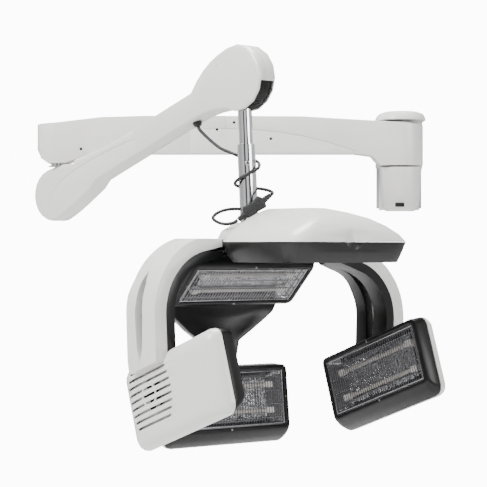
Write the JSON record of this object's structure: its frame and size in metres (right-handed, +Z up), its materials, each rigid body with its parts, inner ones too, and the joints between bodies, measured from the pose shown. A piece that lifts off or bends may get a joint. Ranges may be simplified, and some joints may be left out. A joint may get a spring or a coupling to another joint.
{
  "type": "wall-mounted infrared hair processor hood",
  "caption": "Wall-bracket swing arm and spring-balanced arm carrying an open hood of curved wings, guarded infrared heads and a lifting front visor.",
  "frame": {"origin": "middle of the bracket's wall face, at the first arm's mid height", "axes": "+Z up, +Y into the wall (the outward normal of the mounting face), +X to the right as seen facing the wall"},
  "size_m": [0.9094, 0.8716, 0.8493],
  "materials": {
    "white": "satin",
    "black": "satin",
    "grey": "satin",
    "chrome": "polished",
    "steel": "satin",
    "bronze": "sintered, oiled",
    "reflector": "bright",
    "rubber": "matt"
  },
  "bodies": {
    "wall_bracket": {"wall_plate": "steel", "bracket_cover": "white", "bracket_cup": "white", "wall_pin": "steel"},
    "first_arm": {"arm_shell_elbow": "white", "arm_shell_wall": "white", "arm_duct_cover": "white", "arm_beam": "steel", "wall_bush": "bronze", "elbow_bush": "bronze"},
    "elbow_post": {"elbow_post": "chrome", "elbow_knuckle": "steel", "elbow_slot_cover": "black"},
    "spring_arm": {"spring_arm_elbow_cap": "white", "spring_arm_elbow_shell": "white", "spring_arm_face_shell": "white", "spring_arm_back_shell": "white", "lift_pin": "steel", "head_pin": "steel", "balance_spring": "steel", "lead_gland": "rubber", "lead_hang": "rubber"},
    "level_rod": {"level_rod": "steel"},
    "stem": {"head_knuckle": "steel", "head_slot_cover": "black", "stem_tube": "chrome", "stem_sleeve": "chrome", "set_screw": "steel", "lead_wrap": "rubber", "lead_socket": "rubber", "lead_plug": "rubber", "lead_loop": "rubber"},
    "hub": {"hub_shell": "white", "hub_chassis": "black", "rear_liner": "black", "rear_cover": "white", "crown_frame": "black", "crown_reflector": "reflector", "crown_guard": "steel", "rear_frame": "black", "rear_reflector": "reflector", "rear_guard": "steel", "rear_back": "white"},
    "visor": {"visor_cover": "white", "visor_tray": "grey"},
    "left_wing": {"left_wing": "white", "left_wing_liner": "black", "left_frame": "black", "left_reflector": "reflector", "left_guard": "steel", "left_back": "white"},
    "right_wing": {"right_wing": "white", "right_wing_liner": "black", "right_frame": "black", "right_reflector": "reflector", "right_guard": "steel", "right_back": "white"},
    "left_fan": {"left_fan": "black"},
    "right_fan": {"right_fan": "black"},
    "rear_fan": {"rear_fan": "black"}
  },
  "joints": [
    {"name": "wall_swing", "type": "hinge", "parent": "wall_bracket", "child": "first_arm", "pos_m": [0, -0.062, 0], "axis": [0, 0, 1], "range_deg": [0, 170]},
    {"name": "elbow_swing", "type": "hinge", "parent": "first_arm", "child": "elbow_post", "pos_m": [-0.794, -0.062, -0.078], "axis": [0, 0, 1], "range_deg": [-137, 5]},
    {"name": "arm_lift", "type": "hinge", "parent": "elbow_post", "child": "spring_arm", "pos_m": [-0.794, -0.062, -0.078], "axis": [-0.6782, -0.7349, 0], "range_deg": [-50, 0]},
    {"name": "level_rod_swing", "type": "hinge", "parent": "elbow_post", "child": "level_rod", "pos_m": [-0.794, -0.062, -0.056], "axis": [-0.6782, -0.7349, 0], "range_deg": [-50, 0]},
    {"name": "stem_level", "type": "hinge", "parent": "spring_arm", "child": "stem", "pos_m": [-0.36593, -0.45701, 0.15675], "axis": [-0.6782, -0.7349, 0], "range_deg": [0, 50]},
    {"name": "hood_swivel", "type": "hinge", "parent": "stem", "child": "hub", "pos_m": [-0.35308, -0.45701, -0.14973], "axis": [-0.0419, 0, 0.9991], "range_deg": [-55, 120]},
    {"name": "left_wing_swing", "type": "hinge", "parent": "hub", "child": "left_wing", "pos_m": [-0.42017, -0.50756, -0.19], "axis": [-0.6018, 0.7986, 0], "range_deg": [-3, 6]},
    {"name": "right_wing_swing", "type": "hinge", "parent": "hub", "child": "right_wing", "pos_m": [-0.28599, -0.40646, -0.19], "axis": [0.6018, -0.7986, 0], "range_deg": [-3, 6]},
    {"name": "visor_lift", "type": "hinge", "parent": "hub", "child": "visor", "pos_m": [-0.31095, -0.51291, -0.196], "axis": [-0.7986, -0.6018, 0], "range_deg": [0, 9]},
    {"name": "left_fan_spin", "type": "hinge", "parent": "left_wing", "child": "left_fan", "pos_m": [-0.54528, -0.68549, -0.4908], "axis": [0.7986, 0.6018, 0], "continuous": true},
    {"name": "right_fan_spin", "type": "hinge", "parent": "right_wing", "child": "right_fan", "pos_m": [-0.09006, -0.34245, -0.4828], "axis": [0.7986, 0.6018, 0], "continuous": true},
    {"name": "rear_fan_spin", "type": "hinge", "parent": "hub", "child": "rear_fan", "pos_m": [-0.42452, -0.36221, -0.5284], "axis": [0.5985, -0.7943, 0.1045], "continuous": true}
  ],
  "couplings": [
    {"joint": "level_rod_swing", "follows": "arm_lift", "ratio": 1},
    {"joint": "stem_level", "follows": "arm_lift", "ratio": -1}
  ]
}
